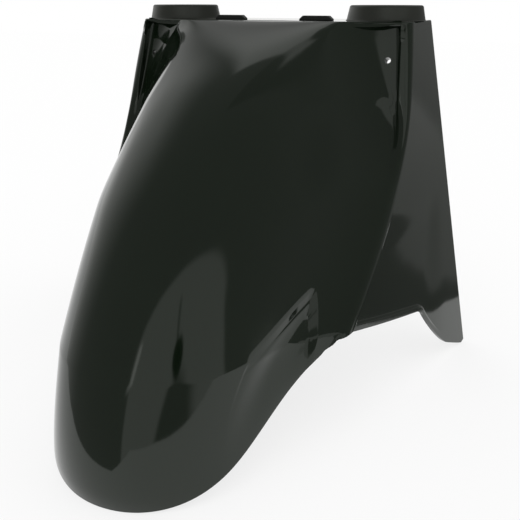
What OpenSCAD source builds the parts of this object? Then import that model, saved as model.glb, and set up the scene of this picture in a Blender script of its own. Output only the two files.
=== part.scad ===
// Motorcycle front mudguard, one moulded piece, for a scooter fork with two legs.
// X to the side, Y to the rear, Z up. The origin is under the middle of the part, on the floor.

/* [Size] */
// height of the flat deck above the floor
deck_h = 279.6; // [275:0.2:284]
// how far the nose reaches in front of the deck
guard_reach = 255; // [245:1:262]
// depth of the flat deck behind the hood
deck_depth = 63; // [58:1:68]
// wall of the moulding
wall = 2.8; // [2.4:0.1:3.2]
// thickness of the deck
deck_t = 3; // [2.6:0.1:3.6]

/* [Hood] */
// height of the foremost line of the nose
nose_h = 10; // [6:0.5:16]
// fullness of the centre line, 1 is straight and 2 is an ellipse
nose_power = 1.68; // [1.58:0.01:1.76]
// half width at the front lower corner of the side panel
corner_w = 116; // [114:0.5:118]
// half width where the guard is widest above that corner
waist_w = 124; // [122:0.5:126]
// half width at the deck
top_w = 116.4; // [115.4:0.2:118]
// half width of the nose at its lower end
lobe_w = 84.5; // [80:0.5:88]
// how far the nose's lower end lies in front of the corner line
lobe_fwd = 26; // [22:1:32]
// slope of the hood where it meets the edge at the deck
crease_top = 50; // [44:1:54]
// slope of the hood where it meets the edge at the corner
crease_low = 63; // [57:1:67]
// fullness of the sides, as a share of the way to the edge
side_full = 0.3; // [0.27:0.01:0.34]
// how steeply the lower edge rises from the nose to the corner
edge_power = 2.63; // [2.4:0.01:2.9]

/* [Side panel] */
// height of the front lower corner
corner_h = 81.5; // [78:0.5:86]
// height of the notch in front of the tab
notch_h = 58.5; // [54:0.5:64]
// height of the tab's front corner
tab_front_h = 13; // [11:0.5:18]
// half width of the rear edge at the deck
rear_top_w = 119.6; // [119:0.2:121]
// outward slope of the rear edge, per millimetre of height
rear_flare = 0.2; // [0.18:0.005:0.22]
// rounding of the edge between hood and panel
edge_r = 7; // [5:0.5:8]
// height of the raised lip along the panel's lower edge
lip_h = 3.6; // [3:0.1:5]
// how far the panel is set in behind the lip
lip_step = 0.9; // [0.5:0.1:1.2]

/* [Lobe recess] */
// depth of the V shaped recess on each side of the nose
recess_depth = 2.4; // [1.6:0.1:3]
// height of the top of the recess
recess_top_h = 113; // [108:1:118]
// height of the front end of the recess
recess_front_h = 83; // [78:1:88]
// height of the bevel along the recess, measured up the side
recess_bevel = 5.5; // [4:0.5:8]

/* [Fork covers] */
// distance between the two fork legs
fork_pitch = 180; // [178:1:182]
// bore for the fork leg
fork_bore = 46; // [40:1:46]
// outside of the collar at its foot
collar_d = 60.8; // [59:0.2:62]
// height of the collar above the deck
collar_h = 11.2; // [8:0.2:13]
// how much narrower the collar is at its top, on each side
collar_draft = 1.8; // [0.5:0.1:2.4]
// rounding of the collar's upper edge
collar_round = 2; // [1:0.1:2.5]
// depth of the pocket below its ceiling
pocket_depth = 12; // [10:0.5:12]
// slope of the pocket's floor, back per millimetre of height
pocket_slope = 0.276; // [0.26:0.002:0.3]
// how far the pocket runs down from the deck
pocket_run = 71.6; // [68:0.2:76]
// screw hole in the pocket's floor
screw_d = 4.4; // [3:0.1:6]
// how far the screw hole lies below the deck
screw_drop = 27.6; // [22:0.2:34]
// length of the screw hole's boss, from the pocket's floor to the rear
boss_l = 6; // [5:0.5:8]
// wall of the boss around the screw hole
boss_wall = 1.8; // [1.4:0.1:2.4]

/* [Lugs] */
// inner end of each lug, from the middle
lug_in = 24; // [20:1:28]
// outer end of each lug, from the middle
lug_out = 51.5; // [46:0.5:54]
// height of the lugs above the deck
lug_h = 3.6; // [2:0.2:5]
// depth of the lugs from front to back
lug_t = 6; // [4:0.5:8]

/* [Hidden] */
// steps of the surface
HOOD_N = 17;
LOW_N = 7;
HIGH_N = 21;
ARC_N = 4;
ROWS = LOW_N + 1 + HIGH_N;
// how much the hood's columns close up towards the middle, 1 is even
hood_spacing = 1.08;
// columns at the front end, the top, the foot and the rear end of the lobe recess
RECESS_C = [9, 13, 15, 16];
// places along the panel, as shares of its length
PANEL_F = [0.15, 0.3, 0.45, 0.58, 0.62, 0.667, 0.75, 0.84, 0.87, 0.925, 0.98, 1];
// where the deck starts, before the origin is moved to the middle
hood_y = -32;
rear_y = hood_y + deck_depth;
shift_y = (guard_reach - hood_y - rear_y) / 2;
shell_top = deck_h - 0.3;
// the widest place and the edge line on the side
waist_h = 195;
waist_bend = 1.6;
edge_top_y = -29;
edge_lean = 0.3;
edge_bend = 0.003;
edge_bend_from = 55;
// fullness of the front half of the section at the deck, the corner and the lower end
full_top = 0.545;
full_corner = 0.667;
full_foot = 0.677;
slope_foot = -15;
// how the lobe's side runs up to the corner
lobe_bend = 1.51;
lobe_y = edge_y(corner_h) - lobe_fwd;
// the crease beside each fork cover, and how far back or forward it lies of the edge line
crease_in = 43;
crease_from = 165;
crease_bend = 1.45;
valley = 6;
valley_run = 60;
brow = 9;
brow_from = 222;
brow_run = 53;
// the recess behind its top and at the rear of the hood
recess_dip = 6;
recess_rear = 30;
mid_above_edge = 45;
// small steps of the panel's lower edge at the notch and the tab
notch_round = 4.5;
tab_round = 5.5;
tab_rear_h = 1.5;
// where the panel's inset fades out
inset_top_h = 150;
inset_fade = 28;
inset_end_f = 0.86;
inset_end_fade = 0.2;
// height over which the surface steps in above the lip
lip_slope_h = 1.2;
// heights of the pocket's foot and of the screw hole
pocket_foot_h = deck_h - pocket_run;
screw_h = deck_h - screw_drop;
// widths of the pocket at its ceiling and at its foot
pocket_in_x = top_w - crease_in - 1;
pocket_rim_x = top_w - 6;
pocket_run_x = pocket_rim_x + 5;
pocket_skew = 18;
pocket_wall = 3.5;
pocket_drop = 4;
// place of the screw hole across the pocket's floor
screw_share = 0.26;
overlap = 1;

function clip(v) = max(0, min(1, v));
function unit(v) = v / norm(v);
function mix(a, b, k) = a + (b - a) * k;

// front of the hood on the centre line
function front_y(z) =
    let (up = clip((z - nose_h) / (shell_top - nose_h)))
    z > nose_h
        ? hood_y - guard_reach * pow(1 - pow(up, nose_power), 1 / nose_power)
        : hood_y - guard_reach + pow((nose_h - z) / nose_h, 2);

// the edge between the hood and the side panel
function edge_x(z) =
    z > waist_h
        ? waist_w - (waist_w - top_w) * pow((z - waist_h) / (shell_top - waist_h), waist_bend)
        : waist_w - (waist_w - corner_w) * pow((waist_h - z) / (waist_h - corner_h), 2);
function edge_y(z) =
    let (s = shell_top - z)
    edge_top_y - edge_lean * s - edge_bend * pow(max(0, s - edge_bend_from), 2);
function edge_pt(z) = [edge_x(z), edge_y(z)];
function rear_pt(z) = [rear_top_w + rear_flare * (shell_top - z), rear_y];

// where the hood ends: on the edge, on the crease beside the fork cover, or on the lobe's lower end
function cover_w(z) = crease_in * pow(clip((z - crease_from) / (shell_top - crease_from)), crease_bend);
function side_pt(z) =
    let (back = valley * sin(180 * clip((z - crease_from) / valley_run)))
    let (forward = brow * clip((z - brow_from) / brow_run))
    let (g = pow(clip(z / corner_h), lobe_bend))
    z >= corner_h
        ? [edge_x(z) - cover_w(z), edge_y(z) + back - forward]
        : [mix(lobe_w, corner_w, g), mix(lobe_y, edge_y(corner_h), g)];

// hood section at height z, from the centre at 0 to the side at 1
function hood_pt(t, z) =
    let (s = side_pt(z))
    let (f = front_y(z))
    let (hi = clip((z - corner_h) / (shell_top - corner_h)))
    let (lo = clip(z / corner_h))
    let (slope = z >= corner_h ? mix(crease_low, crease_top, hi) : mix(slope_foot, crease_low, lo))
    let (full = z >= corner_h ? mix(full_corner, full_top, hi) : mix(full_foot, full_corner, lo))
    let (b = side_full * norm([s[0], f - s[1]]))
    let (p1 = [full * s[0], f])
    let (p2 = [s[0] - b * sin(slope), s[1] - b * cos(slope)])
    let (r = 1 - t)
    r * r * r * [0, f] + 3 * r * r * t * p1 + 3 * r * t * t * p2 + t * t * t * s;

// last place on the hood before it rounds into the edge
function hood_end(z) = 1 - max(0, 12 - cover_w(z)) / 250;
function hood_low(t) = corner_h * pow(t, edge_power);

// lower edge of the side panel, with the notch and the tab
function panel_low(f) = lookup(f, [
    [0, corner_h],
    [0.62, notch_h],
    [0.667, notch_h - notch_round],
    [0.84, tab_front_h + tab_round],
    [0.87, tab_front_h],
    [0.98, 0],
    [1, tab_rear_h]
]);

// share of the hood's section at column c
function hood_t(c) = pow(c / HOOD_N, hood_spacing);

// top line of the recess on the side of the lobe, and how much of its depth a column has
function recess_h(c) = lookup(c, [
    [RECESS_C[0], recess_front_h],
    [RECESS_C[1], recess_top_h],
    [RECESS_C[2], recess_front_h - recess_dip],
    [RECESS_C[3], recess_front_h + recess_dip],
    [HOOD_N, recess_front_h + recess_rear]
]);
function recess_share(c) = lookup(c, [
    [RECESS_C[0], 0],
    [RECESS_C[1] - 1, 1],
    [RECESS_C[2], 1],
    [RECESS_C[3], 0]
]);

// spacing of the upper rows, closer together near the deck
function rise(v) = sin(90 * v);

// plan points of the rounded edge at height z
function end_pt(z) = hood_pt(hood_end(z), z);
function before_edge(z) =
    let (e = edge_pt(z))
    let (d = end_pt(z) - e)
    e + d * min(0.6, edge_r / norm(d));
function panel_start(z) = edge_r / norm(rear_pt(z) - edge_pt(z));
function panel_pt(f, z) = mix(edge_pt(z), rear_pt(z), f);
function arc_pt(k, z) =
    let (a = before_edge(z))
    let (b = panel_pt(panel_start(z), z))
    (1 - k) * (1 - k) * a + 2 * k * (1 - k) * edge_pt(z) + k * k * b;

// number of columns on one side
END_C = HOOD_N;
ARC_C = END_C + 2;
PANEL_C = ARC_C + ARC_N;
LAST_C = PANEL_C + 1 + len(PANEL_F);
END_LOW = hood_low(hood_end(corner_h));

// share along the panel of a panel column, not counting the rounding
function col_f(c) = c <= PANEL_C + 1 ? 0.012 * (c - PANEL_C) : PANEL_F[c - PANEL_C - 2];
function col_low(c) =
    c < END_C
        ? hood_low(hood_t(c))
        : (c <= PANEL_C
            ? mix(END_LOW, panel_low(0.04), (c - END_C) / (PANEL_C - END_C))
            : panel_low(c == PANEL_C + 1 ? 0.052 : col_f(c)));
function col_mid(c) =
    c < END_C
        ? recess_h(c)
        : mix(recess_h(HOOD_N), col_low(c) + mid_above_edge, clip((c - END_C) / (PANEL_C - END_C)));

// height of a grid point, with the lip's rows close together on the panel
function lip_row_z(lo, split, j) =
    j == 0
        ? lo
        : (j == 1 ? lo + lip_h : mix(lo + lip_h + lip_slope_h, split, (j - 2) / (LOW_N - 2)));
function row_z(c, j) =
    let (lo = col_low(c))
    let (mid = col_mid(c))
    let (split = mid - recess_bevel)
    j > LOW_N
        ? mix(mid, shell_top, rise((j - LOW_N - 1) / HIGH_N))
        : (c > PANEL_C ? lip_row_z(lo, split, j) : mix(lo, split, j / LOW_N));

// outer surface in plan before the panel is set in
function col_pt(c, z) =
    c < END_C
        ? hood_pt(hood_t(c), z)
        : (c == END_C
            ? end_pt(z)
            : (c < ARC_C
                ? mix(end_pt(z), before_edge(z), 0.5)
                : (c <= PANEL_C
                    ? arc_pt((c - ARC_C) / ARC_N, z)
                    : panel_pt(c == PANEL_C + 1 ? panel_start(z) + 0.012 : col_f(c), z))));

// how far a grid point is set in
function set_in(c, j, z) =
    let (below_top = clip((inset_top_h - z) / inset_fade))
    let (before_end = clip((inset_end_f - col_f(c)) / inset_end_fade))
    c < END_C
        ? (j <= LOW_N ? recess_depth * recess_share(c) : 0)
        : (c > PANEL_C + 1 && j >= 2 ? lip_step * below_top * before_end : 0);

function smooth_pt(c, j) =
    let (z = row_z(c, j))
    let (p = col_pt(c, z))
    [p[0], p[1] + shift_y, z];
function step_c(c) = min(LAST_C, max(0, c));
function step_j(j) = min(ROWS, max(0, j));

// outward direction of a grid, mirrored across the middle
function grid_pt(g, c, j) =
    c < 0
        ? [-g[-c][j][0], g[-c][j][1], g[-c][j][2]]
        : g[min(LAST_C, c)][step_j(j)];
function grid_n(g, c, j) =
    let (a = grid_pt(g, c + 1, j) - grid_pt(g, c - 1, j))
    let (b = grid_pt(g, c, step_j(j + 1)) - grid_pt(g, c, step_j(j - 1)))
    unit(cross(a, b));
function set_pt(g, c, j) =
    let (d = set_in(c, j, g[c][j][2]))
    d > 0 ? g[c][j] - d * grid_n(g, c, j) : g[c][j];
function inner_pt(g, c, j) =
    let (n = grid_n(g, c, j))
    let (flat = j == 0 ? [n[0], n[1], 0] : n)
    let (m = c == LAST_C ? [flat[0], 0, flat[2]] : (c == 0 ? [0, flat[1], flat[2]] : flat))
    g[c][j] - wall * unit(m);

SMOOTH = [for (c = [0:LAST_C]) [for (j = [0:ROWS]) smooth_pt(c, j)]];
OUTER = [for (c = [0:LAST_C]) [for (j = [0:ROWS]) set_pt(SMOOTH, c, j)]];
INNER = [for (c = [0:LAST_C]) [for (j = [0:ROWS]) inner_pt(OUTER, c, j)]];

// number of points in one column, outer side first and then the inner side
PER = 2 * (ROWS + 1);
COLS = 2 * LAST_C;
function spot(c, j) = c * PER + j;
function column(c) =
    let (side = abs(c - LAST_C))
    let (sx = c < LAST_C ? -1 : 1)
    [
        for (g = [OUTER, INNER]) for (p = g[side])
            [sx * p[0], p[1], p[2]]
    ];
function quad(a, b, c, d) = [[a, b, c], [a, c, d]];

// thin moulded shell of the hood and both side panels
module shell() {
    points = [for (c = [0:COLS]) each column(c)];
    in = ROWS + 1;
    faces = [
        for (c = [0:COLS - 1]) for (j = [0:ROWS - 1])
            each quad(spot(c, j), spot(c, j + 1), spot(c + 1, j + 1), spot(c + 1, j)),
        for (c = [0:COLS - 1]) for (j = [0:ROWS - 1])
            each quad(spot(c, in + j), spot(c + 1, in + j), spot(c + 1, in + j + 1), spot(c, in + j + 1)),
        for (c = [0:COLS - 1])
            each quad(spot(c, 0), spot(c + 1, 0), spot(c + 1, in), spot(c, in)),
        for (c = [0:COLS - 1])
            each quad(spot(c, ROWS), spot(c, in + ROWS), spot(c + 1, in + ROWS), spot(c + 1, ROWS)),
        for (j = [0:ROWS - 1])
            each quad(spot(0, j), spot(0, in + j), spot(0, in + j + 1), spot(0, j + 1)),
        for (j = [0:ROWS - 1])
            each quad(spot(COLS, j), spot(COLS, j + 1), spot(COLS, in + j + 1), spot(COLS, in + j))
    ];
    polyhedron(points = points, faces = faces, convexity = 6);
}

// outline of the flat deck, inside the fork covers and lapped over the top of the hood
module deck_outline() {
    gap = 0.5;
    lap = 1.2;
    right = [
        for (c = [0:LAST_C])
            let (p = SMOOTH[c][ROWS])
            [p[0] * (1 - gap / top_w), min(p[1] + (c < END_C - 3 ? -lap : gap), shift_y + rear_y)]
    ];
    left = [for (c = [LAST_C:-1:1]) [-right[c][0], right[c][1]]];
    polygon(concat(right, left));
}

// collar around a fork leg, on the deck
module collar() {
    r = collar_d / 2;
    top = deck_h + collar_h;
    translate([0, shift_y, 0])
        rotate_extrude($fn = 96)
            polygon([
                [fork_bore / 2 + 1, deck_h - overlap],
                [r, deck_h - overlap],
                [r, deck_h],
                [r - collar_draft * (1 - collar_round / collar_h), top - collar_round],
                [r - collar_draft - collar_round * 0.3, top - collar_round * 0.3],
                [r - collar_draft - collar_round, top],
                [fork_bore / 2 + 1, top]
            ]);
}

// ring of solid under the collar's middle, so that the bore is cut once
module collar_core() {
    translate([0, shift_y, deck_h - overlap])
        cylinder(d = fork_bore + 4, h = collar_h + overlap, $fn = 96);
}

module fork_bores() {
    for (s = [-1, 1])
        translate([s * fork_pitch / 2, shift_y, deck_h - deck_t - overlap])
            cylinder(d = fork_bore, h = deck_t + collar_h + 2 * overlap, $fn = 96);
}

// lug on the deck between the collars
module lug() {
    mid = lug_out - lug_t / 2;
    translate([0, shift_y - 15, deck_h - overlap])
        rotate([90, 0, 0])
            translate([0, 0, -lug_t / 2])
                linear_extrude(lug_t)
                    polygon([
                        [lug_in, 0],
                        [lug_out, 0],
                        [lug_out, overlap + lug_h * 0.3],
                        [mid, overlap + lug_h],
                        [lug_in + lug_t / 2, overlap + lug_h],
                        [lug_in, overlap + lug_h * 0.3]
                    ]);
}

// pocket floor at height z, before the shift
function floor_y(z) = side_pt(shell_top)[1] + pocket_depth - pocket_slope * (shell_top - z);

// front of the fork cover at width x and height z
function cover_y(x, z) =
    let (a = side_pt(z))
    let (b = edge_pt(z))
    x < a[0] ? a[1] - 0.9 * (a[0] - x) : mix(a[1], b[1], clip((x - a[0]) / (b[0] - a[0])));

// loft between rings with the same number of points, lowest first
module loft(rings) {
    n = len(rings);
    m = len(rings[0]);
    points = [for (r = rings) for (p = r) [p[0], p[1] + shift_y, p[2]]];
    faces = [
        for (k = [1:m - 2])
            [0, k, k + 1],
        for (i = [0:n - 2]) for (k = [0:m - 1])
            each quad(m * i + k, m * (i + 1) + k, m * (i + 1) + (k + 1) % m, m * i + (k + 1) % m),
        for (k = [1:m - 2])
            [m * (n - 1), m * (n - 1) + k + 1, m * (n - 1) + k]
    ];
    polyhedron(points = points, faces = faces, convexity = 2);
}

// widths of the pocket at height z: crease, floor's inner side, floor's outer side and rim
function pocket_x(z) =
    let (k = (shell_top - z) / (shell_top - pocket_foot_h))
    let (rim = mix(pocket_rim_x, pocket_run_x, k))
    [
        mix(pocket_in_x, pocket_run_x - 0.8, k),
        mix(pocket_in_x + pocket_skew, pocket_run_x - 0.6, k),
        mix(pocket_rim_x - pocket_wall, pocket_run_x - 0.2, k),
        rim
    ];

// section of solid behind the pocket at height z
function backing_ring(z) =
    let (x = pocket_x(z))
    let (front = 0.6 * wall)
    let (back = floor_y(z) + wall)
    let (in = x[0] - wall)
    let (out = x[3] + 0.4 * wall)
    let (a = cover_y(in, z) + front)
    let (b = cover_y(out, z) + front)
    [[in, a, z], [out, b, z], [x[2] + wall, max(back, b + 1), z], [x[1] - wall, max(back, a + 1), z]];

// section of the pocket at height z, with its crease side lowered by drop
function void_ring(z, drop) =
    let (lead = 14)
    let (low = z - drop)
    let (x = pocket_x(low))
    let (y = pocket_x(z))
    let (slant = (y[3] - y[2]) / max(4, floor_y(z) - cover_y(y[3], z)))
    [
        [x[0], cover_y(x[0], low), low],
        [x[0], cover_y(x[0], low) - lead, low],
        [y[3] + lead * slant, cover_y(y[3], z) - lead, z],
        [y[2], floor_y(z), z],
        [x[1], floor_y(low), low]
    ];

module pocket_backing() {
    top = deck_h - overlap;
    foot = pocket_foot_h - 2 * wall;
    loft([for (k = [0:4]) backing_ring(mix(foot, top, k / 4))]);
}

module pocket_void() {
    top = deck_h - 2;
    loft([for (k = [0:4]) void_ring(mix(pocket_foot_h, top, k / 4), k == 4 ? pocket_drop : 0)]);
}

// puts a piece square on the pocket's floor at the screw, with its Z axis to the front
module at_screw() {
    x = pocket_x(screw_h);
    translate([mix(x[1], x[2], screw_share), shift_y + floor_y(screw_h), screw_h])
        rotate([90 - atan(pocket_slope), 0, 0])
            children();
}

module screw_boss() {
    at_screw()
        translate([0, 0, -boss_l])
            cylinder(d = screw_d + 2 * boss_wall, h = boss_l - overlap, $fn = 48);
}

module screw_hole() {
    at_screw()
        cylinder(d = screw_d, h = 4 * boss_l, center = true, $fn = 48);
}

module front_mudguard() {
    color([0.02, 0.02, 0.02])
        difference() {
            union() {
                shell();
                translate([0, 0, deck_h - deck_t])
                    linear_extrude(deck_t)
                        deck_outline();
                for (s = [0, 1])
                    mirror([s, 0, 0]) {
                        translate([fork_pitch / 2, 0, 0])
                            collar();
                        translate([fork_pitch / 2, 0, 0])
                            collar_core();
                        lug();
                        pocket_backing();
                        screw_boss();
                    }
            }
            fork_bores();
            for (s = [0, 1])
                mirror([s, 0, 0]) {
                    pocket_void();
                    screw_hole();
                }
        }
}

front_mudguard();
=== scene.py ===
import bpy
import math
import numpy as np
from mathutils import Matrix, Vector
from mathutils.geometry import tessellate_polygon


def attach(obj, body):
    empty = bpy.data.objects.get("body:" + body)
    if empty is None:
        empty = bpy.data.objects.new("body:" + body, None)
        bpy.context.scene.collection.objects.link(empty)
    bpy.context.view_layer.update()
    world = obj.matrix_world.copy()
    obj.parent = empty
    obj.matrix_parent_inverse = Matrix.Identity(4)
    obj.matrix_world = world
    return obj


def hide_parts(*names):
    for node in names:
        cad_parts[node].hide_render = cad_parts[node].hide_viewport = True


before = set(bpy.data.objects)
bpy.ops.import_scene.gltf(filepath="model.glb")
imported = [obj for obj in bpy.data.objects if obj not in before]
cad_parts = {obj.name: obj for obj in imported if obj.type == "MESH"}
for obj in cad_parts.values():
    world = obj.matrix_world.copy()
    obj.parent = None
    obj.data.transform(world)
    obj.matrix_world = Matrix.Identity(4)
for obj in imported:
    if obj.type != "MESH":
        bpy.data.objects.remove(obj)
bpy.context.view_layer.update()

# sizes, in millimetres, as in the part's source
DECK_H = 279.6
SHELL_TOP = 279.3
GUARD_REACH = 255.0
HOOD_Y = -32.0
REAR_Y = 31.0
SHIFT_Y = (GUARD_REACH - HOOD_Y - REAR_Y) / 2
WALL = 2.8
NOSE_H = 10.0
NOSE_POWER = 1.68
CORNER_W, WAIST_W, TOP_W = 116.0, 124.0, 116.4
CORNER_H, WAIST_H = 81.5, 195.0
LOBE_W, LOBE_FWD = 84.5, 26.0
CREASE_TOP, CREASE_LOW, SLOPE_FOOT = 50.0, 63.0, -15.0
FULL_TOP, FULL_CORNER, FULL_FOOT = 0.545, 0.667, 0.677
LOBE_BEND = 1.51
SIDE_FULL = 0.3
EDGE_POWER = 2.63
NOTCH_H, TAB_FRONT_H, TAB_ROUND = 58.5, 13.0, 5.5
NOTCH_ROUND, TAB_END_RISE = 4.5, 1.5
REAR_TOP_W, REAR_FLARE = 119.6, 0.2
EDGE_R = 7.0
LIP_H, LIP_STEP = 3.6, 0.9
RECESS_TOP_H, RECESS_FRONT_H = 113.0, 83.0
CREASE_IN, CREASE_FROM, VALLEY = 43.0, 165.0, 6.0
FORK_PITCH, FORK_BORE = 180.0, 46.0
COLLAR_D, COLLAR_H, COLLAR_DRAFT, COLLAR_ROUND = 60.8, 11.2, 1.8, 2.0
POCKET_DEPTH, POCKET_SLOPE, POCKET_FOOT_H = 12.0, 0.276, 208.0
POCKET_IN_X, POCKET_RIM_X, POCKET_SKEW, POCKET_WALL = 72.4, 110.4, 18.0, 3.5
POCKET_RUN_X = POCKET_RIM_X + 5
SCREW_D, SCREW_H, SCREW_SHARE, BOSS_L, BOSS_WALL = 4.4, 252.0, 0.26, 6.0, 1.8
LUG_IN, LUG_OUT, LUG_H, LUG_T, LUG_Y = 24.0, 51.5, 3.6, 6.0, -15.0
DECK_T = 3.0

rad = np.radians


def clip(v):
    return np.clip(v, 0.0, 1.0)


def mix(a, b, k):
    return a + (b - a) * k


def smooth(k):
    k = clip(k)
    return k * k * (3 - 2 * k)


# lines of the moulding
def front_y(z):
    rise = clip((z - NOSE_H) / (SHELL_TOP - NOSE_H))
    up = HOOD_Y - GUARD_REACH * (1 - rise**NOSE_POWER) ** (1 / NOSE_POWER)
    low = HOOD_Y - GUARD_REACH + ((NOSE_H - z) / NOSE_H) ** 2
    return np.where(z > NOSE_H, up, low)


def edge_x(z):
    up = WAIST_W - (WAIST_W - TOP_W) * np.maximum((z - WAIST_H) / (SHELL_TOP - WAIST_H), 0) ** 1.6
    low = WAIST_W - (WAIST_W - CORNER_W) * ((WAIST_H - z) / (WAIST_H - CORNER_H)) ** 2
    return np.where(z > WAIST_H, up, low)


def edge_y(z):
    s = SHELL_TOP - z
    return -29 - 0.3 * s - 0.003 * np.maximum(0, s - 55) ** 2


def plan(x, y):
    return np.stack(np.broadcast_arrays(x, y), -1)


def edge_pt(z):
    return plan(edge_x(z), edge_y(z))


def rear_pt(z):
    return plan(REAR_TOP_W + REAR_FLARE * (SHELL_TOP - z), REAR_Y + 0 * z)


def cover_w(z):
    return CREASE_IN * clip((z - CREASE_FROM) / (SHELL_TOP - CREASE_FROM)) ** 1.45


def side_pt(z):
    v = VALLEY * np.sin(rad(180 * clip((z - CREASE_FROM) / 60))) - 9 * clip((z - 222) / 53)
    g = clip(z / CORNER_H) ** LOBE_BEND
    lobe_y = edge_y(CORNER_H) - LOBE_FWD
    x = np.where(z >= CORNER_H, edge_x(z) - cover_w(z), mix(LOBE_W, CORNER_W, g))
    y = np.where(z >= CORNER_H, edge_y(z) + v, mix(lobe_y, edge_y(CORNER_H), g))
    return plan(x, y)


def hood_pt(t, z):
    s = side_pt(z)
    f = front_y(z)
    hi = clip((z - CORNER_H) / (SHELL_TOP - CORNER_H))
    lo = clip(z / CORNER_H)
    above = z >= CORNER_H
    slope = rad(np.where(above, mix(CREASE_LOW, CREASE_TOP, hi), mix(SLOPE_FOOT, CREASE_LOW, lo)))
    full = np.where(above, mix(FULL_CORNER, FULL_TOP, hi), mix(FULL_FOOT, FULL_CORNER, lo))
    b = SIDE_FULL * np.hypot(s[..., 0], f - s[..., 1])
    p2x, p2y = s[..., 0] - b * np.sin(slope), s[..., 1] - b * np.cos(slope)
    r = 1 - t
    x = 3 * r * r * t * full * s[..., 0] + 3 * r * t * t * p2x + t**3 * s[..., 0]
    y = r**3 * f + 3 * r * r * t * f + 3 * r * t * t * p2y + t**3 * s[..., 1]
    return plan(x, y)


def hood_end(z):
    return 1 - np.maximum(0, 12 - cover_w(z)) / 250


def hood_low(t):
    return CORNER_H * t**EDGE_POWER


def panel_low(f):
    along = [0, 0.62, 0.667, 0.84, 0.87, 0.98, 1]
    tab_top = TAB_FRONT_H + TAB_ROUND
    heights = [CORNER_H, NOTCH_H, NOTCH_H - NOTCH_ROUND, tab_top, TAB_FRONT_H, 0, TAB_END_RISE]
    return np.interp(f, along, heights)


def length(v):
    return np.sqrt((v * v).sum(-1))[..., None]


def before_edge(z):
    e = edge_pt(z)
    k = hood_pt(hood_end(z), z)
    d = k - e
    return e + d * np.minimum(0.6, EDGE_R / length(d))


def panel_start(z):
    return EDGE_R / length(rear_pt(z) - edge_pt(z))[..., 0]


def floor_y(z):
    return side_pt(np.array(SHELL_TOP))[1] + POCKET_DEPTH - POCKET_SLOPE * (SHELL_TOP - z)


def cover_y(x, z):
    a, b = side_pt(z), edge_pt(z)
    return mix(a[..., 1], b[..., 1], clip((x - a[..., 0]) / (b[..., 0] - a[..., 0])))


# the side section in plan, from the hood to the panel
# roundings at the crease, at both sides of the pocket's floor and at its rim
CREASE_ROUND, FOOT_IN_ROUND, FOOT_OUT_ROUND, RIM_ROUND = 3.5, 7.0, 1.6, 2.5
# how deep the pocket's floor is at its inner side, its outer side and the rim
FLOOR_SHARE = (0.6, 1.0, 0.0)
ROUNDS = (CREASE_ROUND, FOOT_IN_ROUND, FOOT_OUT_ROUND, RIM_ROUND)


def pocket_x(z):
    k = (SHELL_TOP - z) / (SHELL_TOP - POCKET_FOOT_H)
    return (
        mix(POCKET_IN_X, POCKET_RUN_X - 0.8, k),
        mix(POCKET_IN_X + POCKET_SKEW, POCKET_RUN_X - 0.6, k),
        mix(POCKET_RIM_X - POCKET_WALL, POCKET_RUN_X - 0.2, k),
        mix(POCKET_RIM_X, POCKET_RUN_X, k),
    )


def cover_path(z, pocket):
    """Corners of the fork cover's section: crease, inner and outer floor, rim, start of the rounded edge."""
    crease = hood_pt(hood_end(z), z)
    last = before_edge(z)
    kx, ax = crease[..., 0], last[..., 0]
    foot = POCKET_FOOT_H
    foot_z = np.array(foot)
    k_foot, a_foot = hood_pt(hood_end(foot_z), foot_z)[0], before_edge(foot_z)[0]
    even = (0.3, 0.5, 0.7)
    xs = []
    deep = pocket * smooth((z - foot + 6) / 24)
    for n, x in enumerate(pocket_x(z)[1:]):
        at_foot = (pocket_x(foot_z)[n + 1] - k_foot) / (a_foot - k_foot)
        share = mix(at_foot, even[n], smooth((foot - z) / 25))
        xs.append(np.where(z >= foot, x, mix(kx, ax, share)))
    pts = [crease]
    for n, x in enumerate(xs):
        line = mix(crease[..., 1], last[..., 1], clip((x - kx) / (ax - kx)))
        y = line + np.maximum(floor_y(z) - line, 0) * deep * FLOOR_SHARE[n]
        pts.append(plan(x, y))
    pts.append(last)
    return pts


def corner(p, q, r, k, size):
    """Point at share k of a rounded corner at q between p and r."""
    a = q + (p - q) * np.minimum(0.45, size / np.maximum(length(p - q), 1e-6))
    b = q + (r - q) * np.minimum(0.45, size / np.maximum(length(r - q), 1e-6))
    return (1 - k) ** 2 * a + 2 * k * (1 - k) * q + k * k * b


# the recess: its front end, its apex and its foot, as shares of the hood's section and heights
RECESS_FRONT_T, RECESS_APEX_T = 0.503, 0.7485
LEG_SLOPE = 0.00321
RECESS_END_H = 143.7
# distances in millimetres from the recess's lines, where rows and columns lie close together
NEAR = np.array([9, 7.5, 6.6, 6, 5.5, 5, 4, 3, 2, 1, 0.0])
NEAR_T = RECESS_APEX_T - NEAR / 250
AFTER = np.array([0.004, 0.01, 0.02, 0.035, 0.055, 0.075, 0.095, 0.115, 0.13, 0.145])
AFTER_T = RECESS_APEX_T + AFTER
HOOD_T = np.r_[
    np.linspace(0, 0.48, 23),
    np.array([0.49, 0.497, 0.5, 0.503, 0.506, 0.509, 0.512, 0.516, 0.522, 0.53]),
    np.linspace(0.54, 0.7, 20),
    NEAR_T,
    AFTER_T,
    np.linspace(0.9, 0.93, 8),
]
PANEL_LIST = np.r_[
    np.linspace(0.15, 0.58, 16)[:-1],
    np.linspace(0.58, 0.68, 8)[:-1],
    np.linspace(0.68, 1.0, 18),
]
STEP_MM = (0.7, 1.4, 2.1, 2.8, 4.5)
COLUMNS = [("hood", t) for t in HOOD_T]
COLUMNS += [("hood_end", u) for u in (0.25, 0.5, 0.75)]
COLUMNS += [("crease", u) for u in np.linspace(0, 1, 6)]
COLUMNS += [("wall_in", u) for u in (0.33, 0.67)]
COLUMNS += [("foot_in", u) for u in np.linspace(0, 1, 4)]
COLUMNS += [("floor", u) for u in np.linspace(0, 1, 8)[1:-1]]
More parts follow.
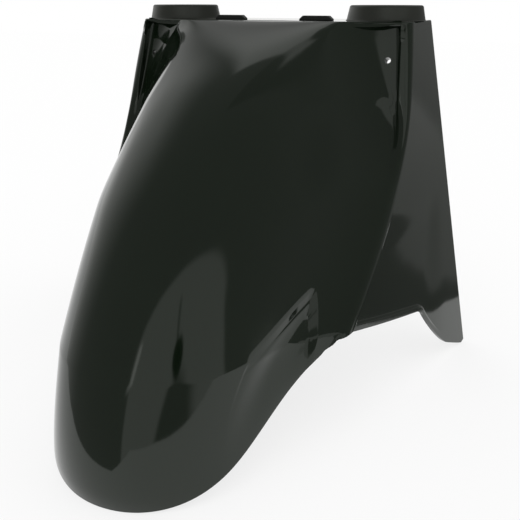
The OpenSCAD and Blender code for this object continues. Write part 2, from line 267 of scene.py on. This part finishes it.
COLUMNS += [("foot_out", u) for u in np.linspace(0, 1, 4)]
COLUMNS += [("wall_out", u) for u in (0.33, 0.67)]
COLUMNS += [("rim", u) for u in np.linspace(0, 1, 5)]
COLUMNS += [("rim_out", 0.5)]
COLUMNS += [("edge", u) for u in np.linspace(0, 1, 11)]
COLUMNS += [("step", mm) for mm in STEP_MM]
COLUMNS += [("panel", f) for f in PANEL_LIST]
NC = len(COLUMNS)
KINDS = [k for k, _ in COLUMNS]


def leg_t(z):
    """Place of the recess's rear leg on the hood's section at height z."""
    return RECESS_APEX_T + LEG_SLOPE * np.maximum(RECESS_TOP_H - z, 0)


def sheared(u, z):
    """Place on the hood's section of the column u, which follows the rear leg of the recess."""
    share = np.interp(u, [0.56, 0.705, RECESS_APEX_T, 0.93], [0, 1, 1, 0])
    return u + share * (leg_t(z) - RECESS_APEX_T)


def recess_line(t):
    """Height of the recess's front leg, carried on past the apex."""
    shares = [0, RECESS_FRONT_T, RECESS_APEX_T, 1]
    return np.interp(t, shares, [RECESS_FRONT_H, RECESS_FRONT_H, RECESS_TOP_H, RECESS_END_H])


def meet_height(u, line):
    """Height at which column u of the hood meets a line given over the section."""
    z = float(line(u))
    for _ in range(60):
        z = 0.5 * z + 0.5 * float(line(sheared(u, z)))
    return z


def column_plan(kind, u, z, pocket):
    if kind == "hood":
        return hood_pt(sheared(u, z), z)
    path = cover_path(z, pocket)
    back = hood_pt(hood_end(z) - 0.012, z)
    if kind == "hood_end":
        return hood_pt(mix(0.93, hood_end(z) - 0.012, u), z)
    if kind == "crease":
        return corner(back, path[0], path[1], u, CREASE_ROUND)
    joint = {"foot_in": 1, "foot_out": 2, "rim": 3}
    if kind in joint:
        n = joint[kind]
        return corner(path[n - 1], path[n], path[n + 1], u, ROUNDS[n])
    if kind in ("wall_in", "floor", "wall_out", "rim_out"):
        n = {"wall_in": 0, "floor": 1, "wall_out": 2, "rim_out": 3}[kind]
        a = corner(path[max(n - 1, 0)] if n else back, path[n], path[n + 1], 1.0, ROUNDS[n])
        b = path[4] if n == 3 else corner(path[n], path[n + 1], path[n + 2], 0.0, ROUNDS[n + 1])
        return mix(a, b, u)
    start = panel_start(z)
    if kind == "edge":
        a, b, e = path[4], mix(edge_pt(z), rear_pt(z), start[..., None]), edge_pt(z)
        return (1 - u) ** 2 * a + 2 * u * (1 - u) * e + u * u * b
    span = length(rear_pt(z) - edge_pt(z))[..., 0]
    room = np.minimum(STEP_MM[-1], 0.85 * (PANEL_LIST[0] * span - EDGE_R))
    f = start + u / STEP_MM[-1] * room / span if kind == "step" else u + 0 * z
    return mix(edge_pt(z), rear_pt(z), f[..., None])


# heights of the rows of one column
LOW_N, BEVEL_N, HIGH_N, ROUND_N = 28, len(NEAR) - 1, 62, 5


def share_along(n):
    """Place of column n on the way from the hood's end to the panel, 0 to 1."""
    first, last = KINDS.index("hood_end"), KINDS.index("panel")
    return clip((n - first) / (last - first))


def column_low(n):
    kind, u = COLUMNS[n]
    if kind == "hood":
        return meet_height(u, hood_low)
    if kind == "panel":
        return float(panel_low(u))
    end = hood_low(hood_end(np.array(CORNER_H)))
    if kind == "hood_end":
        return mix(hood_low(0.93), end, u)
    if kind == "step":
        return float(panel_low(0.039 + u / 180))
    first, last = KINDS.index("crease"), KINDS.index("step")
    return mix(end, float(panel_low(0.039)), (n - first) / (last - first))


CEILING_DROP = 2.0
DECK_ROUND = 1.3


def ceiling(n):
    inner = KINDS.index("foot_in"), KINDS.index("foot_out")
    return DECK_H - 1.9 - CEILING_DROP * (1 - clip((n - inner[0]) / (inner[1] - inner[0])))


def top_row(n):
    if KINDS[n] == "hood":
        return SHELL_TOP
    return mix(SHELL_TOP, DECK_H - DECK_ROUND, clip((n - KINDS.index("hood_end")) / 6))


def quarter_wave(count):
    """Shares from 0 to 1 that lie closer together towards 1."""
    return np.sin(rad(90 * np.linspace(0, 1, count)))


# rows over the lip, as shares of its height, and over the step behind it
LIP_SHARES = (0, 0.35, 0.8, 1)
LIP_STEP_MM = (0.5, 1, 1.5, 2.2)
ROWS_Z = []
for n in range(NC):
    kind, u = COLUMNS[n]
    low, top = column_low(n), top_row(n)
    if kind == "hood":
        line = meet_height(u, recess_line) if u < RECESS_APEX_T else RECESS_TOP_H
    else:
        line = mix(RECESS_TOP_H, low + 45, share_along(n))
    split = line - NEAR[0]
    if kind in ("panel", "step"):
        lip = [low + share * LIP_H for share in LIP_SHARES] + [low + LIP_H + mm for mm in LIP_STEP_MM]
        z = np.r_[lip, np.linspace(lip[-1], split, LOW_N - len(lip) + 2)[1:]]
    else:
        z = np.linspace(low, split, LOW_N + 1)
    z = np.r_[z, line - NEAR[1:]]
    roof = ceiling(n)
    if kind == "hood":
        z = np.r_[z, mix(line, top, quarter_wave(HIGH_N + 6))[1:]]
    else:
        up = mix(line, roof - 0.5, quarter_wave(HIGH_N + 1))
        near = np.array([roof, roof + 0.02, roof + 0.5, mix(roof + 0.5, top, 0.5), top])
        z = np.r_[z, up[1:], near]
    ROWS_Z.append(z)
ROWS_Z = np.array(ROWS_Z)
NR = ROWS_Z.shape[1]
ROOF_ROW = LOW_N + 1 + BEVEL_N + HIGH_N
# the hood's rows follow the cover's rows where they meet
for n in range(KINDS.index("hood_end") - 1, -1, -1):
    meet = smooth((COLUMNS[n][1] - 0.8) / 0.13)
    first = LOW_N + 1 + BEVEL_N
    ROWS_Z[n, first:] = mix(ROWS_Z[n, first:], ROWS_Z[KINDS.index("hood_end"), first:], meet)

flat = np.zeros((NC, NR, 3))
for n, (kind, u) in enumerate(COLUMNS):
    z = ROWS_Z[n]
    inside = (np.arange(NR) <= ROOF_ROW).astype(float)
    p = column_plan(kind, u, z, inside)
    flat[n, :, :2] = p
    flat[n, :, 2] = z


def grid_normals(g):
    """Outward directions of a half grid, mirrored across the middle."""
    mirrored = g[1:2] * np.array([-1, 1, 1])
    ext = np.concatenate([mirrored, g, g[-1:]])
    du = ext[2:] - ext[:-2]
    dv = np.concatenate([g[:, 1:2] - g[:, :1], g[:, 2:] - g[:, :-2], g[:, -1:] - g[:, -2:-1]], 1)
    n = np.cross(du, dv)
    return n / np.maximum(np.linalg.norm(n, axis=-1, keepdims=True), 1e-9)


# depth of the facet, and the factor that brings its curve to 1 at the deepest place
FACET_DEPTH, FACET_PEAK = 2.5, 6.75


def recess(t, z):
    """Depth of the V shaped recess: a bevel along both legs, a fine groove and a facet below."""
    per_t = np.linalg.norm(hood_pt(t + 0.005, z) - hood_pt(t - 0.005, z), axis=-1) / 0.01
    below = 0.9 * (recess_line(t) - z)
    reach = 0.9 * (recess_line(t) - hood_low(t))
    ahead = 0.75 * (leg_t(z) - t) * per_t
    along = clip((below - 8) / (reach - 8))
    bevel = np.interp(below, [0, 7, 9], [0, 1.9, 1.4]) * (1 - 0.65 * along)
    facet = FACET_DEPTH * FACET_PEAK * along * (1 - along) ** 2
    deep = np.maximum(bevel + facet, 0)
    side = np.interp(ahead, [0, 5, 6.5, 14], [0, 1, 0.85, 1])
    soft = smooth((t - RECESS_FRONT_T + 0.003) / 0.19)
    crisp = mix(0.5, 1, soft) * smooth((t - RECESS_FRONT_T) / 0.012)
    return deep * side * mix(soft, crisp, np.exp(-np.maximum(below, 0) / 9))


normals = grid_normals(flat)
depth = np.zeros((NC, NR))
for n, (kind, u) in enumerate(COLUMNS):
    z = ROWS_Z[n]
    if kind == "hood":
        depth[n] = recess(sheared(u, z), z)
    if kind in ("panel", "step"):
        low = column_low(n)
        side = 1.0 if kind == "panel" else smooth((u - 0.7) / 1.4)
        fade_f = smooth((0.86 - (u if kind == "panel" else 0.05)) / 0.2)
        depth[n] = LIP_STEP * side * fade_f * smooth((150 - z) / 28) * smooth((z - low - LIP_H) / 1.5)
outer = flat - depth[..., None] * normals

# rounding of the deck's edge and the inner side
inward = np.zeros((NC, 2))
for n, (kind, u) in enumerate(COLUMNS):
    inward[n] = (0, 1) if n < KINDS.index("edge") else (-1, 0)
edge_cols = [n for n in range(NC) if KINDS[n] == "edge"]
for n in edge_cols:
    a = rad(90 * COLUMNS[n][1])
    inward[n] = (-np.sin(a), np.cos(a))
round_rows = []
for k in range(1, ROUND_N + 1):
    a = rad(90 * k / ROUND_N)
    row = outer[:, -1].copy()
    row[:, :2] += inward * DECK_ROUND * (1 - np.cos(a))
    row[:, 2] = mix(outer[:, -1, 2], DECK_H, np.sin(a))
    row[:, 1] = np.minimum(row[:, 1], REAR_Y)
    round_rows.append(row)
skin = np.concatenate([outer, np.stack(round_rows, 1)], 1)
inner_n = grid_normals(outer)
inner_n[:, 0, 2] = 0
inner_n[-1, :, 1] = 0
inner_n[0, :, 0] = 0
inner_n /= np.linalg.norm(inner_n, axis=-1, keepdims=True)
inside = outer - WALL * inner_n
inside[:, -1, 2] = np.minimum(inside[:, -1, 2], DECK_H - DECK_T)


# meshes
def new_object(name, verts, faces, smooth_faces=True):
    mesh = bpy.data.meshes.new(name)
    pts = np.asarray(verts, float).reshape(-1, 3).copy()
    pts[:, 1] += SHIFT_Y
    mesh.from_pydata((pts * 0.001).tolist(), [], [tuple(int(i) for i in f) for f in faces])
    mesh.validate()
    mesh.update()
    if smooth_faces:
        mesh.shade_smooth()
    obj = bpy.data.objects.new(name, mesh)
    bpy.context.scene.collection.objects.link(obj)
    return obj


def mirror_grid(g):
    left = g[:0:-1] * np.array([-1, 1, 1])
    return np.concatenate([left, g])


def grid_faces(cols, rows, start, flip):
    c, r = np.meshgrid(np.arange(cols - 1), np.arange(rows - 1), indexing="ij")
    a = start + c * rows + r
    quad = [a, a + 1, a + rows + 1, a + rows]
    if not flip:
        quad = quad[::-1]
    return np.stack(quad, -1).reshape(-1, 4)


INNER_ROWS = np.r_[np.arange(0, inside.shape[1] - 1, 2), inside.shape[1] - 1]
full_out, full_in = mirror_grid(skin), mirror_grid(inside[:, INNER_ROWS])
cols, rows_out, rows_in = full_out.shape[0], full_out.shape[1], full_in.shape[1]
verts = np.concatenate([full_out.reshape(-1, 3), full_in.reshape(-1, 3)])
base_in = cols * rows_out
faces = grid_faces(cols, rows_out, 0, False).tolist() + grid_faces(cols, rows_in, base_in, True).tolist()
for c in range(cols - 1):
    o0, o1 = c * rows_out, (c + 1) * rows_out
    i0, i1 = base_in + c * rows_in, base_in + (c + 1) * rows_in
    faces.append((i0, i1, o1, o0))
    faces.append((o0 + rows_out - 1, o1 + rows_out - 1, i1 + rows_in - 1, i0 + rows_in - 1))
last_o, last_i = (cols - 1) * rows_out, base_in + (cols - 1) * rows_in
for r in range(rows_in - 1):
    run_end = INNER_ROWS[r + 1] if r < rows_in - 2 else rows_out - 1
    outer_run = list(range(INNER_ROWS[r], run_end + 1))
    faces.append(tuple(outer_run[::-1] + [base_in + r, base_in + r + 1]))
    faces.append(tuple([last_o + k for k in outer_run] + [last_i + r + 1, last_i + r]))
shell = new_object("mudguard_shell", verts, faces)


def screw_place(side):
    """Middle of a screw hole on the pocket's floor, in metres."""
    widths = pocket_x(SCREW_H)
    x = mix(widths[1], widths[2], SCREW_SHARE)
    return Vector((side * x, floor_y(SCREW_H) + SHIFT_Y, SCREW_H)) * 0.001


SCREW_TURN = math.pi / 2 - math.atan(POCKET_SLOPE)
HOLE_SIDES = 40


def cut_screw_holes(obj):
    """Cuts both screw holes square through the floors of the pockets."""
    for side in (-1, 1):
        bpy.ops.mesh.primitive_cylinder_add(
            vertices=HOLE_SIDES,
            radius=SCREW_D * 0.0005,
            depth=0.016,
            location=screw_place(side),
            rotation=(SCREW_TURN, 0, 0),
        )
        cutter = bpy.context.object
        cut = obj.modifiers.new("screw_hole", "BOOLEAN")
        cut.operation, cut.solver, cut.object = "DIFFERENCE", "EXACT", cutter
        made = bpy.data.meshes.new_from_object(obj.evaluated_get(bpy.context.evaluated_depsgraph_get()))
        obj.modifiers.clear()
        obj.data = made
        bpy.data.objects.remove(cutter)
    obj.data.shade_smooth()
    obj.data.set_sharp_from_angle(angle=rad(35))


cut_screw_holes(shell)


def turned_faces(n, seg):
    """Faces of a profile of n points that is turned in seg steps."""
    made = []
    for i in range(seg):
        a, b = i * n, (i + 1) % seg * n
        made += [(a + k, a + k + 1, b + k + 1, b + k) for k in range(n - 1)]
    return made


def boss(side):
    """Tube behind the pocket's floor, around the screw hole."""
    hole, wall_r = SCREW_D / 2 - 0.02, SCREW_D / 2 + BOSS_WALL
    prof = [(hole, 1.2), (hole, -BOSS_L), (wall_r, -BOSS_L), (wall_r, 1.2)]
    place, turn, seg = screw_place(side) * 1000, SCREW_TURN, HOLE_SIDES
    v = []
    for k in range(seg):
        a = 2 * math.pi * k / seg
        for r, z in prof:
            x, y = r * math.cos(a), r * math.sin(a)
            turned_y = y * math.cos(turn) - z * math.sin(turn)
            turned_z = y * math.sin(turn) + z * math.cos(turn)
            v.append((place.x + x, place.y - SHIFT_Y + turned_y, place.z + turned_z))
    return v, [face[::-1] for face in turned_faces(len(prof), seg)]


bosses = [new_object("screw_boss_" + name, *boss(s)) for s, name in ((-1, "left"), (1, "right"))]
for obj in bosses:
    obj.data.set_sharp_from_angle(angle=rad(35))

# flat deck with its two bores, and its underside
BORE_N = 72
ring = full_out[:, -1]
top_loop = [Vector((p[0], p[1], 0)) for p in ring]


def circle(x, r, n):
    a = np.linspace(0, 2 * math.pi, n, endpoint=False)
    return [Vector((x + r * math.cos(t), r * math.sin(t), 0)) for t in a]


holes = [circle(s * FORK_PITCH / 2, FORK_BORE / 2, BORE_N) for s in (-1, 1)]
under_loop = [Vector((p[0] * (1 - 1.5 / TOP_W), min(p[1] + 1.5, REAR_Y), 0)) for p in ring]


def flat_piece(loop, z, up):
    pts = [v for part in (loop, *holes) for v in part]
    tris = tessellate_polygon([loop, *holes])
    out = []
    for t in tris:
        a, b, c = (pts[i] for i in t)
        area = (b - a).cross(c - a).z
        if abs(area) > 1e-9:
            out.append(t if (area > 0) == up else t[::-1])
    return [(v.x, v.y, z) for v in pts], out


top_v, top_f = flat_piece(top_loop, DECK_H, True)
low_v, low_f = flat_piece(under_loop, DECK_H - DECK_T, False)
m = len(top_v)
deck_faces = list(top_f) + [tuple(i + m for i in f) for f in low_f]
last = len(top_loop) - 1
deck_faces.append((last, m + last, m, 0))
deck = new_object("mudguard_deck", top_v + low_v, deck_faces, False)


# collars and lugs
def collar(side):
    r = COLLAR_D / 2
    top = DECK_H + COLLAR_H
    bore = FORK_BORE / 2
    prof = [(bore, DECK_H - DECK_T), (bore, top - 0.8), (bore + 0.25, top - 0.25), (bore + 0.8, top)]
    slope_r = r - COLLAR_DRAFT
    for k in range(9):
        a = rad(90 * k / 8)
        out, up = COLLAR_ROUND * math.sin(a), COLLAR_ROUND * math.cos(a)
        prof.append((slope_r - COLLAR_ROUND + out, top - COLLAR_ROUND + up))
    prof += [(mix(slope_r, r, k), mix(top - COLLAR_ROUND, DECK_H + 1.0, k)) for k in (0.33, 0.66, 1.0)]
    prof += [(r + 0.35, DECK_H + 0.3), (r + 1.0, DECK_H + 0.02)]
    n, seg = len(prof), 96
    a = np.linspace(0, 2 * math.pi, seg, endpoint=False)
    v = [(side * FORK_PITCH / 2 + p[0] * math.cos(t), p[0] * math.sin(t), p[1]) for t in a for p in prof]
    f = []
    for i in range(seg):
        a, b = i * n, (i + 1) % seg * n
        f += [(a + k + 1, b + k + 1, b + k, a + k) for k in range(n - 1)]
    return v, f


def lug(side):
    w = LUG_T / 2
    low = LUG_H * 0.3
    prof = [(LUG_IN, 0), (LUG_OUT, 0), (LUG_OUT, low)]
    prof += [(LUG_OUT - w, LUG_H), (LUG_IN + w, LUG_H), (LUG_IN, low)]
    v = [(side * x, LUG_Y + d, DECK_H - 0.2 + z) for d in (-w, w) for x, z in prof]
    n = len(prof)
    f = [tuple(range(n)), tuple(range(2 * n - 1, n - 1, -1))]
    f += [((k + 1) % n, k, n + k, n + (k + 1) % n) for k in range(n)]
    return v, f if side > 0 else [t[::-1] for t in f]


collars = [new_object("collar_" + name, *collar(s)) for s, name in ((-1, "left"), (1, "right"))]
lugs = [new_object("lug_" + name, *lug(s), False) for s, name in ((-1, "left"), (1, "right"))]
for obj in lugs:
    soft = obj.modifiers.new("soft_edges", "BEVEL")
    soft.width, soft.segments = 0.0006, 2


# materials
def shader_node(tree, kind, **values):
    made = tree.nodes.new(kind)
    for name, value in values.items():
        socket = made.inputs[name.replace("_", " ")]
        if isinstance(value, bpy.types.NodeSocket):
            tree.links.new(value, socket)
        else:
            socket.default_value = value
    return made


def plastic(name, colour, rough, wave, wave_scale, grain, grain_scale):
    """Moulded plastic: the colour, how rough it is, slow waves in the gloss and a fine grain."""
    mat = bpy.data.materials.new(name)
    mat.use_nodes = True
    tree = mat.node_tree
    bsdf = tree.nodes["Principled BSDF"]
    bsdf.inputs["IOR"].default_value = 1.5
    bsdf.inputs["Specular Tint"].default_value = (0.95, 1.0, 0.94, 1)
    place = tree.nodes.new("ShaderNodeTexCoord").outputs["Object"]
    slow = shader_node(tree, "ShaderNodeTexNoise", Vector=place, Scale=wave_scale, Detail=2.0)
    fine = shader_node(tree, "ShaderNodeTexNoise", Vector=place, Scale=grain_scale, Detail=3.0)
    dust = shader_node(tree, "ShaderNodeMapRange", Value=fine.outputs["Fac"])
    dust.inputs["To Min"].default_value = rough * 0.85
    dust.inputs["To Max"].default_value = rough * 1.2
    tree.links.new(dust.outputs["Result"], bsdf.inputs["Roughness"])
    tint = shader_node(tree, "ShaderNodeMix", Factor=slow.outputs["Fac"])
    tint.data_type = "RGBA"
    tint.inputs[6].default_value = (*colour, 1)
    tint.inputs[7].default_value = (*(1.3 * c for c in colour), 1)
    tree.links.new(slow.outputs["Fac"], tint.inputs[0])
    tree.links.new(tint.outputs[2], bsdf.inputs["Base Color"])
    bump_slow = shader_node(tree, "ShaderNodeBump", Height=slow.outputs["Fac"], Strength=1.0, Distance=wave)
    bump_fine = shader_node(
        tree,
        "ShaderNodeBump",
        Height=fine.outputs["Fac"],
        Strength=1.0,
        Distance=grain,
        Normal=bump_slow.outputs["Normal"],
    )
    tree.links.new(bump_fine.outputs["Normal"], bsdf.inputs["Normal"])
    return mat


gloss_black = plastic("gloss_black_plastic", (0.003, 0.0056, 0.0028), 0.07, 0.00012, 22.0, 0.000002, 400.0)
satin_black = plastic("satin_black_collar", (0.010, 0.011, 0.008), 0.38, 0.0001, 30.0, 0.00002, 900.0)
dark_black = plastic("dark_lug", (0.003, 0.0032, 0.003), 0.3, 0.0001, 30.0, 0.00001, 900.0)
for obj in (shell, deck, *bosses):
    obj.data.materials.append(gloss_black)
for obj in collars:
    obj.data.materials.append(satin_black)
for obj in lugs:
    obj.data.materials.append(dark_black)
for obj in (shell, deck, *bosses, *collars, *lugs):
    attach(obj, "root")
    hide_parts("front_mudguard")


# white paper under and behind the mudguard; the dark room begins past its front and right edges
PAPER_EDGE = [
    (-5.0, 0.6),
    (-0.57, -0.12),
    (-0.41, -0.19),
    (-0.21, -0.235),
    (-0.01, -0.225),
    (0.03, -0.34),
    (0.15, -0.335),
    (0.36, -0.18),
    (1.6, 0.1),
    (1.6, 0.62),
    (0.3, 0.13),
    (0.27, 0.3),
    (0.27, 5.0),
    (-5.0, 5.0),
]
PAPER_SHADE = 0.25


def seen_directly(tree):
    """1 for the camera and for what metal and gloss reflect, 0 for diffuse light."""
    path = tree.nodes.new("ShaderNodeLightPath")
    total = shader_node(tree, "ShaderNodeMath")
    total.operation = "ADD"
    tree.links.new(path.outputs["Is Camera Ray"], total.inputs[0])
    tree.links.new(path.outputs["Is Glossy Ray"], total.inputs[1])
    both = shader_node(tree, "ShaderNodeMath")
    both.operation, both.use_clamp = "ADD", True
    tree.links.new(total.outputs[0], both.inputs[0])
    tree.links.new(path.outputs["Is Transmission Ray"], both.inputs[1])
    return both.outputs[0]


def paper():
    mesh = bpy.data.meshes.new("studio_paper")
    mesh.from_pydata([(x, y, 0) for x, y in PAPER_EDGE], [], [tuple(range(len(PAPER_EDGE)))])
    obj = bpy.data.objects.new("studio_paper", mesh)
    bpy.context.scene.collection.objects.link(obj)
    mat = bpy.data.materials.new("white_paper")
    mat.use_nodes = True
    tree = mat.node_tree
    tree.nodes.clear()
    sheet = shader_node(tree, "ShaderNodeBsdfDiffuse", Color=(0.98, 0.98, 0.98, 1))
    white = shader_node(tree, "ShaderNodeEmission", Color=(1, 1, 1, 1), Strength=1.0)
    share = shader_node(tree, "ShaderNodeMath")
    share.operation = "MULTIPLY"
    tree.links.new(seen_directly(tree), share.inputs[0])
    share.inputs[1].default_value = 1 - PAPER_SHADE
    blend = tree.nodes.new("ShaderNodeMixShader")
    tree.links.new(share.outputs[0], blend.inputs[0])
    tree.links.new(sheet.outputs[0], blend.inputs[1])
    tree.links.new(white.outputs[0], blend.inputs[2])
    out = tree.nodes.new("ShaderNodeOutputMaterial")
    tree.links.new(blend.outputs[0], out.inputs["Surface"])
    obj.data.materials.append(mat)


paper()


# the room that glossy rays meet, by azimuth from the front towards the right and by elevation, in degrees
# its areas are placed for the photo's camera, so the reflections suit that view
class Room:
    def __init__(self, tree):
        self.tree = tree
        coord = tree.nodes.new("ShaderNodeTexCoord")
        split = tree.nodes.new("ShaderNodeSeparateXYZ")
        tree.links.new(coord.outputs["Generated"], split.inputs[0])
        x, y, z = split.outputs
        back = self.math("MULTIPLY", y, -1.0)
        self.azimuth = self.math("DEGREES", self.math("ARCTAN2", x, back))
        self.elevation = self.math("DEGREES", self.math("ARCSINE", z))
        self.turn = self.math("ABSOLUTE", self.azimuth)

    def math(self, operation, a, b=0.0):
        made = self.tree.nodes.new("ShaderNodeMath")
        made.operation = operation
        for socket, value in zip(made.inputs, (a, b)):
            if isinstance(value, bpy.types.NodeSocket):
                self.tree.links.new(value, socket)
            else:
                socket.default_value = value
        return made.outputs[0]

    def line(self, value, middle, half):
        """How far a value lies from the middle, in units of half."""
        return self.math("DIVIDE", self.math("SUBTRACT", value, middle), half)

    def rise(self, value, start, end):
        """0 before start, 1 past end, with start above end for a fall."""
        made = self.tree.nodes.new("ShaderNodeMapRange")
        made.interpolation_type = "SMOOTHSTEP"
        low, high = min(start, end), max(start, end)
        self.tree.links.new(value, made.inputs["Value"])
        made.inputs["From Min"].default_value, made.inputs["From Max"].default_value = low, high
        made.inputs["To Min"].default_value = 0.0 if start < end else 1.0
        made.inputs["To Max"].default_value = 1.0 if start < end else 0.0
        return made.outputs["Result"]

    def area(self, level, *edges):
        """A soft-edged area of the room with its level of light."""
        total = level
        for value, start, end in edges:
            total = self.math("MULTIPLY", self.rise(value, start, end), total)
        return total

    def add(self, *parts):
        total = parts[0]
        for part in parts[1:]:
            total = self.math("ADD", total, part)
        return total


ROOM_LEVEL = 0.26


def room_light(tree):
    room = Room(tree)
    az, el, turn = room.azimuth, room.elevation, room.turn
    # the window straight ahead, an arch over the table
    across = room.math("POWER", room.math("ABSOLUTE", room.line(az, 39.0, 46.0)), 2.4)
    droop = room.math("MULTIPLY", room.math("MAXIMUM", room.math("SUBTRACT", az, 39.0), 0.0), 0.13)
    raised = room.math("MAXIMUM", room.line(room.math("ADD", el, droop), 0.0, 37.0), 0.0)
    upward = room.math("POWER", raised, 2.4)
    arch = room.math("ADD", across, upward)
    window = room.rise(arch, 1.06, 0.94)
    frame_line = room.area(0.22, (arch, 0.95, 1.0), (arch, 1.12, 1.05), (el, 8, 14))
    # a dark shape before the window, wider towards the floor, with a round spot and a thin line above it
    lean = room.math("MULTIPLY", room.math("ADD", el, 12.0), 0.55)
    left_az, right_az = room.math("SUBTRACT", az, lean), room.math("ADD", az, lean)
    dark_shape = room.area(0.7, (left_az, 25, 31), (right_az, 68, 58), (el, 14, 8))
    spot_az, spot_el = room.line(az, 44.0, 6.25), room.line(el, 15.0, 5.0)
    spot = room.math("ADD", room.math("MULTIPLY", spot_az, spot_az), room.math("MULTIPLY", spot_el, spot_el))
    stem_lean = room.math("MULTIPLY", room.math("SUBTRACT", el, 12.0), 0.23)
    stem_az = room.math("ABSOLUTE", room.math("ADD", room.math("SUBTRACT", az, 44.0), stem_lean))
    stem = room.area(0.5, (stem_az, 1.6, 0.9), (el, 10, 12), (el, 31, 28))
    # a bright strip down the window's left side
    strip_lean = room.math("MULTIPLY", room.math("SUBTRACT", el, 9.0), 0.58)
    strip_az = room.math("ABSOLUTE", room.math("SUBTRACT", room.math("ADD", az, 7.0), strip_lean))
    light = room.add(
        ROOM_LEVEL,
        room.area(0.5, (az, -138, -118), (az, -58, -102), (el, 66, 40)),
        room.area(0.45, (az, -140, -124), (az, -82, -112), (el, 16, -4)),
        room.area(0.62, (turn, 134, 147), (el, 22, 58), (el, 69.5, 67.5)),
        room.math("MULTIPLY", window, 0.46),
        frame_line,
        room.area(0.9, (strip_az, 2.0, 1.0), (el, 4, 8), (el, 23, 20)),
    )
    light = room.math("MULTIPLY", light, room.math("SUBTRACT", 1.0, dark_shape))
    light = room.math("MULTIPLY", light, room.math("SUBTRACT", 1.0, stem))
    light = room.math("MULTIPLY", light, room.rise(spot, 0.5, 1.0))
    # the room to the right rear: dim, with a lighter band under the horizon and a dark one below it
    rear_right = room.area(1.0, (az, 112, 120), (az, 175, 168))
    dim = room.add(room.area(0.24, (el, -4, -2)), room.area(0.5, (el, -13, -14), (el, -22, -19)))
    darker = room.math("MULTIPLY", rear_right, dim)
    light = room.math("MULTIPLY", light, room.math("SUBTRACT", 1.0, darker))
    band = room.math("MULTIPLY", rear_right, room.area(0.04, (el, -13.5, -13), (el, -3, -4)))
    light = room.add(light, band)
    backdrop = room.area(1.0, (turn, 128, 133), (az, -100, -118), (el, 14, 8))
    return room.math("MAXIMUM", light, backdrop)


world = bpy.data.worlds.new("studio")
bpy.context.scene.world = world
world.use_nodes = True
world_tree = world.node_tree
world_tree.nodes.clear()
world_out = world_tree.nodes.new("ShaderNodeOutputWorld")
plain = shader_node(world_tree, "ShaderNodeBackground", Color=(1, 1, 1, 1), Strength=1.0)
room_level = room_light(world_tree)
room_back = shader_node(world_tree, "ShaderNodeBackground", Color=(1, 1, 0.99, 1), Strength=room_level)
path = world_tree.nodes.new("ShaderNodeLightPath")
reflected = shader_node(world_tree, "ShaderNodeMath")
reflected.operation, reflected.use_clamp = "ADD", True
world_tree.links.new(path.outputs["Is Glossy Ray"], reflected.inputs[0])
world_tree.links.new(path.outputs["Is Transmission Ray"], reflected.inputs[1])
world_mix = world_tree.nodes.new("ShaderNodeMixShader")
world_tree.links.new(reflected.outputs[0], world_mix.inputs[0])
world_tree.links.new(plain.outputs[0], world_mix.inputs[1])
world_tree.links.new(room_back.outputs[0], world_mix.inputs[2])
world_tree.links.new(world_mix.outputs[0], world_out.inputs["Surface"])


# camera
camera_data = bpy.data.cameras.new("photo_camera")
camera_data.sensor_width = 36
camera_data.lens = 45.746
camera = bpy.data.objects.new("photo_camera", camera_data)
bpy.context.scene.collection.objects.link(camera)
azimuth, tilt = rad(24.2), rad(21.4785)
back = Vector((math.sin(azimuth) * math.cos(tilt), -math.cos(azimuth) * math.cos(tilt), math.sin(tilt)))
camera.location = Vector((0.226163, -0.543696 + SHIFT_Y * 0.001, 0.294530))
camera.rotation_mode = "QUATERNION"
camera.rotation_quaternion = (-back).to_track_quat("-Z", "Y")
camera_data.clip_start, camera_data.clip_end = 0.01, 50
bpy.context.scene.camera = camera

scene = bpy.context.scene
scene.view_settings.view_transform = "Standard"
